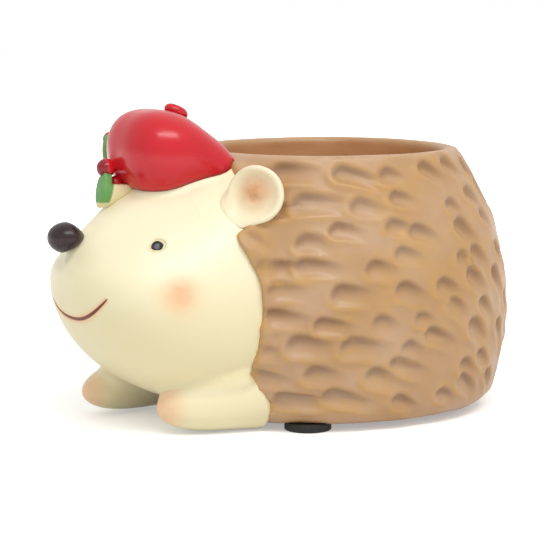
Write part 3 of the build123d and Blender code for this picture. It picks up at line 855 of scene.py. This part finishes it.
def smooth_barrel(skin, sizes):
    """Lifts the solid's plain dents out of the barrel, so that uneven quills can be carved there."""
    points = read(skin, "co")
    normals = read(skin, "normal")
    spokes = points - np.array(POT_AXIS)
    spokes[:, 2] = 0
    spokes /= np.linalg.norm(spokes, axis=1)[:, None] + 1e-9
    outside = np.einsum("ij,ij->i", spokes, normals) > 0.25
    barrel = outside & (points[:, 1] > POT_AXIS.y - NECK_FORWARD)
    hull = bmesh.new()
    for point in points[barrel]:
        hull.verts.new(point)
    bmesh.ops.convex_hull(hull, input=hull.verts)
    tree = BVHTree.FromBMesh(hull)
    hull.free()
    for index in np.nonzero(barrel)[0]:
        found, _, _, gap = tree.find_nearest(points[index])
        if gap < sizes.plain_dent:
            points[index] = found
    write(skin, points)
    relax(skin, whole(skin), rounds=2)
    from_neck = points[:, 1] - POT_AXIS.y + NECK_FORWARD
    lip = outside & (from_neck < sizes.lip_behind_neck) & (from_neck > -sizes.lip_before_neck)
    relax(skin, lip, rounds=10)


def quill_places(surface, sizes):
    """Draws staggered, uneven quills that lie level beside the neck and turn down towards the rear."""
    draw = random.Random(sizes.seed)
    rows = int((sizes.highest - sizes.lowest) / sizes.row_spacing) + 1
    in_row = round(2 * sizes.neck_angle * sizes.flank_radius / sizes.pitch)
    for row in range(rows):
        for number in range(in_row + 1 - row % 2):
            from_rear = sizes.neck_angle * ((2 * number + row % 2) / in_row - 1)
            from_rear += draw.uniform(-0.09, 0.09)
            height = sizes.lowest + row * sizes.row_spacing + draw.uniform(-1, 1) * sizes.row_stray
            size = draw.uniform(0.7, 1.2)
            spoke = Vector((math.sin(from_rear), math.cos(from_rear), 0))
            start = POT_AXIS + spoke * WELL_CLEAR_OF_POT + Vector((0, 0, height))
            spot, outward, _, _ = surface.ray_cast(start, -spoke)
            if spot is None:
                continue
            turn = min(1.0, abs(from_rear) / sizes.neck_angle)
            hand = math.copysign(1, from_rear)
            level = Vector((0, 0, hand)).cross(outward).normalized()
            fall = math.radians(80) * (1 - turn) ** 1.6 + math.radians(4) + draw.uniform(-0.1, 0.1)
            along = Matrix.Rotation(-hand * fall, 3, outward) @ level
            down = Matrix.Rotation(-hand * math.pi / 2, 3, outward) @ along
            beside_neck = float(smooth_step(0.55, 0.9, turn))
            run = sizes.quill_length * size * (1 + 0.45 * beside_neck)
            half_width = sizes.quill_width / 2 * draw.uniform(0.8, 1.1) * (0.8 + 0.2 * size)
            arch = draw.uniform(0.4, 1.4)
            yield Quill(spot, outward, along, down, run, half_width, arch, size, beside_neck)


def quill_shape(quill, points, normals):
    """Points that a quill reaches, and its bowl, its upper wall for the painted shade and its ridge for the
    ochre and painted highlight at each of them.
    """
    offset = points - np.array(quill.spot)
    close = np.nonzero(np.einsum("ij,ij->i", offset, offset) < quill.length ** 2)[0]
    close = close[normals[close] @ np.array(quill.outward) > 0.3]
    run = offset[close] @ np.array(quill.along) / quill.length + 0.5
    side = offset[close] @ np.array(quill.down) / quill.half_width / (1 - 0.35 * np.clip(run, 0, 1))
    side -= quill.arch * (run - 0.4) ** 2
    round_end = quill.half_width / quill.length
    ahead = np.clip((round_end - run) / round_end, 0, 2)
    reach = np.hypot(side, ahead)
    fade = smooth_step(1.0, 0.25, run)
    bowl = smooth_step(1.0, 0.35, reach) * fade * np.clip(0.8 - 0.4 * side, 0, 1.2)
    wall = smooth_step(1.05, 0.6, reach) * smooth_step(0.35, -0.5, side - 0.5 * ahead) * fade
    # Ridge round each dent, strongest on its lower, up-facing lip, where the ochre and painted highlight go
    ridge = np.exp(-((reach - 1.1) / 0.3) ** 2) * smooth_step(1.05, 0.4, run)
    ridge *= 0.35 + 0.65 * smooth_step(-0.2, 0.6, side)
    return close, bowl, wall, ridge


def carve_quills(skin, sizes):
    """Carves the quills, rounds the coat's edge beside the head, and masks the coat's paint: painted shade
    in the dents, ochre and painted highlight on the ridges and edge, the well, and a painted highlight along
    the rim.
    """
    points = read(skin, "co")
    normals = read(skin, "normal")
    depth, lift, recess, ochre = np.zeros((4, len(points)))
    for quill in quill_places(surface_of(skin), sizes):
        close, bowl, wall, ridge = quill_shape(quill, points, normals)
        lip = sizes.quill_lip * (1 + 0.6 * quill.beside_neck)
        depth[close] = np.maximum(depth[close], bowl * sizes.quill_depth * quill.size)
        lift[close] = np.maximum(lift[close], ridge * lip)
        recess[close] = np.maximum(recess[close], wall)
        ochre[close] = np.maximum(ochre[close], ridge)
    head = surface_of(bpy.data.objects["cream_head"].data)
    edge = gaps_to(points, head, sizes.lip_width)
    in_lip = edge < sizes.lip_width
    depth[in_lip] = np.minimum(depth, np.clip(edge - sizes.lip_wall, 0, 1))[in_lip]
    swell = [noise.noise(Vector((x, y, 1.6 * z)) / sizes.swell_spacing) for x, y, z in points.tolist()]
    barrel = smooth_step(0.1, 0.5, np.linalg.norm(normals[:, :2], axis=1))
    lift += np.array(swell) * sizes.swell * barrel
    write(skin, points + normals * (lift - depth)[:, None])
    relax(skin, in_lip, rounds=6)

    # Ochre along the coat's edge beside the head: dry brush and a painted highlight on the rounded lip
    in_front = points[:, 1] < POT_AXIS.y - FRONT_PAD_FORWARD
    ochre = np.maximum(ochre, smooth_step(sizes.lip_ochre, sizes.lip_ochre_full, edge) * in_front * 1.2)
    inward = np.einsum("ij,ij->i", normals[:, :2], (np.array(POT_AXIS) - points)[:, :2]) > 0
    well = inward & (points[:, 2] > sizes.well_floor) & (points[:, 2] < RIM_HEIGHT - sizes.rim_edge)
    mask(skin, "inside", well * 0.85)
    # Painted shade on the upper, down-facing walls of the dents
    mask(skin, "recess", recess * 0.7)
    # Ochre dry brush, with a painted highlight on the up-facing lower lips of the dents
    mask(skin, "ochre", ochre * 0.8)
    # Painted highlight: a lighter band along the top of the rim's outside
    mask(skin, "lit", smooth_step(RIM_HEIGHT - sizes.rim_light, RIM_HEIGHT, points[:, 2]) * ~inward * 0.8)


def ball(half_sizes, centre, turn=None, segments=48):
    """Bmesh of a ball with its own half sizes, and the matrix that places it."""
    shape = bmesh.new()
    bmesh.ops.create_uvsphere(shape, u_segments=segments, v_segments=segments * 2 // 3, radius=1)
    spread = Matrix.Diagonal((*half_sizes, 1))
    return shape, Matrix.Translation(centre) @ (turn or Matrix.Identity(4)) @ spread


class PLANTER_OT_nose(Operator):
    """Shape the glossy nose"""
    bl_idname = "planter.nose"
    bl_label = "Nose"

    def execute(self, context):
        low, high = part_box("nose")
        half = Vector(((high.x - low.x) / 2, NOSE_HALF_DEPTH, (high.z - low.z) / 2))
        centre = Vector((0, low.y + half.y, (low.z + high.z) / 2))
        shape, spot = ball(half, centre)
        for vert in shape.verts:
            back = max(0.0, vert.co.y)
            vert.co.x *= 1 - 0.3 * back ** 2
            if vert.co.z > 0:
                vert.co.z *= 1 - 0.4 * back ** 1.5
            else:
                vert.co.z *= 1 - 0.55 * max(0.0, (vert.co.y + 0.35) / 1.35)
        bmesh.ops.transform(shape, matrix=spot, verts=shape.verts)
        place(to_mesh(shape, "nose"), "nose_knob", plum_gloss_enamel, "nose_enamel", "nose")
        return {"FINISHED"}


class PLANTER_OT_eyes(Operator):
    """Set the two bead eyes"""
    bl_idname = "planter.eyes"
    bl_label = "Eyes"

    def execute(self, context):
        for side, sign in SIDES:
            shape, spot = ball((EYE_RADIUS,) * 3, eye_centre(side, sign), segments=36)
            # Painted glint: a violet grey dot on the bead's outer front
            sideways = Vector((sign * 0.85, -0.5, 0.15)).normalized()
            dot = [smooth_step(0.82, 0.97, vert.co.dot(sideways)) for vert in shape.verts]
            bmesh.ops.transform(shape, matrix=spot, verts=shape.verts)
            mesh = to_mesh(shape, "eye")
            mask(mesh, "dot", np.array(dot) * 0.75)
            place(mesh, side + "_eye", black_gloss_enamel, "eye_bead", "eye_" + side)
        return {"FINISHED"}


class PLANTER_OT_cap(Operator):
    """Shape the red cap and its button"""
    bl_idname = "planter.cap"
    bl_label = "Cap"

    def execute(self, context):
        sizes = context.scene.planter_trim
        shape = merged_copy("cap")
        fill_seats(shape)
        skin = even_skin(shape, sizes.cap_grain)
        scalp = surface_of(bpy.data.objects["cream_head"].data)
        crown = gaps_to(read(skin, "co"), scalp, sizes.crown_gap) >= sizes.crown_gap
        relax(skin, crown, rounds=110)
        relax(skin, whole(skin), rounds=6)
        gaps = gaps_to(read(skin, "co"), scalp, sizes.crown_gap)
        # Painted shade: the cap darker where it tucks in against the head
        mask(skin, "tuck", smooth_step(sizes.tuck_reach, sizes.tuck_full, gaps) * 0.8)
        place(skin, "red_cap", red_varnished_resin, "cap_resin", "cap")

        low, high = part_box("cap_button")
        half = Vector(((high.x - low.x) / 2, sizes.button_half_length, sizes.button_half_height))
        tilt = Matrix.Rotation(sizes.button_tilt, 4, "X")
        centre = Vector((0, (low.y + high.y) / 2, high.z - sizes.button_half_height))
        shape, spot = ball(half, centre, tilt)
        for vert in shape.verts:
            from_dimple = math.hypot(vert.co.x, vert.co.y)
            if vert.co.z > 0:
                vert.co.z -= 0.35 * math.exp(-(from_dimple / 0.4) ** 2)
        bmesh.ops.transform(shape, matrix=spot, verts=shape.verts)
        place(to_mesh(shape, "button"), "button_knob", red_varnished_resin, "cap_resin", "cap_button")
        return {"FINISHED"}


def fill_seats(shape):
    """Fills most of the seats that the berries hide in the cap."""
    for number in BERRY_FACE:
        low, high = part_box(f"berry_{number}")
        bmesh.ops.create_uvsphere(shape, u_segments=24, v_segments=16, radius=0.42 * (high.z - low.z),
                                  matrix=Matrix.Translation((low + high) / 2))


class PLANTER_OT_sprig(Operator):
    """Shape the berries and leaves at the cap's front"""
    bl_idname = "planter.sprig"
    bl_label = "Berries and leaves"

    def execute(self, context):
        sizes = context.scene.planter_trim
        for number, swell in BERRY_SWELL.items():
            name = f"berry_{number}"
            skin = even_skin(merged_copy(name), sizes.berry_grain)
            relax(skin, whole(skin), rounds=4)
            centre = np.array(middle(name))
            points = centre + (read(skin, "co") - centre) * swell
            write(skin, points)
            forward = points[:, 1].min() + BERRY_FACE[number] - points[:, 1]
            mask(skin, "tuck", smooth_step(-sizes.berry_edge, sizes.berry_edge, forward) * 0.9)
            place(skin, "red_" + name, red_varnished_resin, "cap_resin", name)
        brow = surface_of(bpy.data.objects["cream_head"].data)
        cap = surface_of(bpy.data.objects["red_cap"].data)
        for name in ("brow_leaf", "side_leaf"):
            skin = even_skin(merged_copy(name), sizes.leaf_grain)
            relax(skin, whole(skin), rounds=6)
            seat_leaf(skin, (brow, cap), sizes)
            shape = bmesh.new()
            shape.from_mesh(skin)
            skin = even_skin(shape, sizes.leaf_grain)
            relax(skin, whole(skin), rounds=3)
            points = read(skin, "co")
            blade = merged_copy(name)
            off_blade = gaps_to(points, BVHTree.FromBMesh(blade), sizes.border_full)
            blade.free()
            border = smooth_step(sizes.border_start, sizes.border_full, off_blade)
            tip = smooth_step(sizes.tip_start, sizes.tip_full, points[:, 2] - points[:, 2].min())
            mask(skin, "border", np.maximum(border, tip))
            place(skin, "painted_" + name, green_painted_resin, "leaf_resin", name)
        return {"FINISHED"}


def seat_leaf(skin, grounds, sizes):
    """Draws the rear face of a leaf down to the brow or cap behind it."""
    points = read(skin, "co")
    normals = read(skin, "normal")
    top = middle("berry_2").z
    for index in np.nonzero((normals[:, 1] > 0.1) & (points[:, 2] < top))[0]:
        start = Vector(points[index])
        hits = [ground.ray_cast(start, Vector((0, 1, 0)), sizes.leaf_reach) for ground in grounds]
        gaps = [hit[3] for hit in hits if hit[0] is not None]
        if gaps:
            points[index][1] += min(gaps) + sizes.leaf_seat
    write(skin, points)


class PLANTER_OT_seams(Operator):
    """Soften the shading where the legs run into the chest"""
    bl_idname = "planter.seams"
    bl_label = "Seams"

    def execute(self, context):
        width = context.scene.planter_face.seam_width
        names = [side + "_foreleg" for side, _ in SIDES]
        head = bpy.data.objects["cream_head"].data
        limbs = [bpy.data.objects[name].data for name in names]
        shaded = [(head, shared_normals(head, limbs, width))]
        shaded += [(limb, shared_normals(limb, [head], width)) for limb in limbs]
        for mesh, normals in shaded:
            mesh.normals_split_custom_set_from_vertices(normals)
        return {"FINISHED"}


def shared_normals(mesh, others, width):
    """Normals of a mesh's points, half turned to those of the other meshes where they meet."""
    points = read(mesh, "co")
    normals = read(mesh, "normal")
    for other in others:
        surface = surface_of(other)
        for index, point in enumerate(points.tolist()):
            found, away, _, gap = surface.find_nearest(point, width)
            if found is not None and away.dot(Vector(normals[index])) > -0.3:
                share = 0.5 * float(smooth_step(width, 0, gap))
                normals[index] += share * (np.array(away) - normals[index])
    return normals / np.linalg.norm(normals, axis=1)[:, None]


class PLANTER_OT_pads(Operator):
    """Set the rubber pads under the pot"""
    bl_idname = "planter.pads"
    bl_label = "Pads"

    def execute(self, context):
        pad_round = context.scene.planter_trim.pad_round
        for row in ("front", "rear"):
            for side, _ in SIDES:
                node = f"pad_{row}_{side}"
                low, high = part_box(node)
                shape = bmesh.new()
                radius = (high.x - low.x) / 2
                bmesh.ops.create_cone(shape, cap_ends=True, segments=64, radius1=radius, radius2=radius,
                                      depth=high.z - low.z)
                rims = [edge for edge in shape.edges if abs(edge.verts[0].co.z - edge.verts[1].co.z) < 1e-6]
                bmesh.ops.bevel(shape, geom=rims, offset=pad_round, affect="EDGES", segments=3, profile=0.5,
                                material=-1)
                bmesh.ops.translate(shape, verts=shape.verts, vec=(low + high) / 2)
                place(to_mesh(shape, node), "rubber_" + node, black_moulded_rubber, "pad_rubber", node)
        return {"FINISHED"}


class PLANTER_OT_stage(Operator):
    """Set the floor, the light and the camera"""
    bl_idname = "planter.stage"
    bl_label = "Stage"

    def execute(self, context):
        scene = context.scene
        sizes = scene.planter_stage
        scene.view_settings.view_transform = "Standard"
        floor_shape = bmesh.new()
        bmesh.ops.create_grid(floor_shape, x_segments=1, y_segments=1, size=sizes.floor_half)
        floor = bpy.data.objects.new("floor", to_mesh(floor_shape, "floor"))
        scene.collection.objects.link(floor)
        floor.data.materials.append(pale_matt_board(scene.planter_paint))
        white_world(scene, sizes)

        back = Vector((math.sin(sizes.azimuth) * math.cos(sizes.elevation),
                       -math.cos(sizes.azimuth) * math.cos(sizes.elevation), math.sin(sizes.elevation)))
        right = Vector((math.cos(sizes.azimuth), math.sin(sizes.azimuth), 0))
        aim = off_axis(sizes.aim_side, -sizes.aim_forward, sizes.aim_height)
        key = bpy.data.lights.new("key", "AREA")
        key.shape = "RECTANGLE"
        key.size = sizes.key_width
        key.size_y = sizes.key_depth
        key.energy = sizes.key
        lamp = bpy.data.objects.new("key", key)
        lamp.location = aim + back * sizes.key_back + right * sizes.key_right + Vector((0, 0, sizes.key_up))
        lamp.rotation_euler = (aim - lamp.location).to_track_quat("-Z", "Y").to_euler()
        scene.collection.objects.link(lamp)

        lens = bpy.data.cameras.new("camera")
        lens.lens = sizes.lens
        lens.sensor_width = 36
        lens.clip_start = sizes.clip_start
        camera = bpy.data.objects.new("camera", lens)
        camera.location = aim + back * sizes.distance
        camera.rotation_euler = (-back).to_track_quat("-Z", "Y").to_euler()
        scene.collection.objects.link(camera)
        scene.camera = camera
        return {"FINISHED"}


def background_rays(tree):
    """Share that is 1 for rays that show the background: to the camera, in a gloss or through glass."""
    rays = add(tree, "ShaderNodeLightPath")
    seen = add(tree, "ShaderNodeMath", {0: rays.outputs["Is Camera Ray"], 1: rays.outputs["Is Glossy Ray"]},
               operation="MAXIMUM")
    return add(tree, "ShaderNodeMath", {0: seen, 1: rays.outputs["Is Transmission Ray"]},
               operation="MAXIMUM")


def pale_matt_board(paints):
    """Painted board: pale and matt, lifted to white for the camera, and it keeps the planter's shadow."""
    material, tree, spot = new_material("pale_matt_board")
    specks = add(tree, "ShaderNodeTexNoise", {"Vector": spot, "Scale": 1 / (4 * MM)})
    speckle = add(tree, "ShaderNodeMapRange", {
        "Value": specks, "From Min": 0.3, "From Max": 0.7, "To Max": 0.2})
    colour = add(tree, "ShaderNodeMix", {"Factor": speckle, "A": paints.floor, "B": paints.floor_speckle},
                 data_type="RGBA")
    from_planter = add(tree, "ShaderNodeVectorMath", {0: spot}, operation="LENGTH")
    lifted = add(tree, "ShaderNodeMapRange", {
        "Value": from_planter, "From Min": 120 * MM, "From Max": 400 * MM, "To Min": 0.35, "To Max": 1.0})
    lifted = add(tree, "ShaderNodeMath", {0: background_rays(tree), 1: lifted}, operation="MULTIPLY")
    shader = add(tree, "ShaderNodeBsdfPrincipled", {
        "Base Color": colour, "Roughness": 0.9, "Specular IOR Level": 0.1,
        "Emission Color": (1, 1, 1, 1), "Emission Strength": lifted})
    add(tree, "ShaderNodeOutputMaterial", {"Surface": shader})
    return material


def white_world(scene, sizes):
    """World that is white to look at and gives a soft fill, stronger from above."""
    world = bpy.data.worlds.new("white_studio")
    scene.world = world
    world.use_nodes = True
    tree = world.node_tree
    tree.nodes.clear()
    towards = add(tree, "ShaderNodeSeparateXYZ", {
        "Vector": add(tree, "ShaderNodeTexCoord").outputs["Generated"]})
    strength = add(tree, "ShaderNodeMapRange", {
        "Value": towards.outputs["Z"], "To Min": sizes.fill, "To Max": sizes.overhead})
    soft = add(tree, "ShaderNodeBackground", {"Color": (1, 1, 1, 1), "Strength": strength})
    seen = add(tree, "ShaderNodeBackground", {"Color": (1, 1, 1, 1), "Strength": 1.0})
    mixed = add(tree, "ShaderNodeMixShader", {0: background_rays(tree), 1: soft, 2: seen})
    add(tree, "ShaderNodeOutputWorld", {"Surface": mixed})


GROUPS = (
    ("planter_coat", PlanterCoat),
    ("planter_face", PlanterFace),
    ("planter_trim", PlanterTrim),
    ("planter_paint", PlanterPaint),
    ("planter_stage", PlanterStage),
)
OPERATORS = (
    PLANTER_OT_nose,
    PLANTER_OT_head,
    PLANTER_OT_forelegs,
    PLANTER_OT_ears,
    PLANTER_OT_coat,
    PLANTER_OT_eyes,
    PLANTER_OT_cap,
    PLANTER_OT_sprig,
    PLANTER_OT_seams,
    PLANTER_OT_pads,
    PLANTER_OT_stage,
)


class PLANTER_PT_build(Panel):
    """List of the planter's pieces and sizes"""
    bl_idname = "PLANTER_PT_build"
    bl_label = "Hedgehog planter"
    bl_space_type = "VIEW_3D"
    bl_region_type = "UI"
    bl_category = "Planter"

    def draw(self, context):
        for operator in OPERATORS:
            self.layout.operator(operator.bl_idname)
        for name, group in GROUPS:
            column = self.layout.column(align=True)
            for setting in group.__annotations__:
                column.prop(getattr(context.scene, name), setting)


def register():
    for name, group in GROUPS:
        bpy.utils.register_class(group)
        setattr(bpy.types.Scene, name, PointerProperty(type=group))
    for operator in OPERATORS:
        bpy.utils.register_class(operator)
    bpy.utils.register_class(PLANTER_PT_build)


def unregister():
    bpy.utils.unregister_class(PLANTER_PT_build)
    for operator in reversed(OPERATORS):
        bpy.utils.unregister_class(operator)
    for name, group in reversed(GROUPS):
        delattr(bpy.types.Scene, name)
        bpy.utils.unregister_class(group)


def main():
    register()
    bpy.ops.planter.nose()
    bpy.ops.planter.head()
    bpy.ops.planter.forelegs()
    bpy.ops.planter.ears()
    bpy.ops.planter.coat()
    bpy.ops.planter.eyes()
    bpy.ops.planter.cap()
    bpy.ops.planter.sprig()
    bpy.ops.planter.seams()
    bpy.ops.planter.pads()
    bpy.ops.planter.stage()


if __name__ == "__main__":
    main()
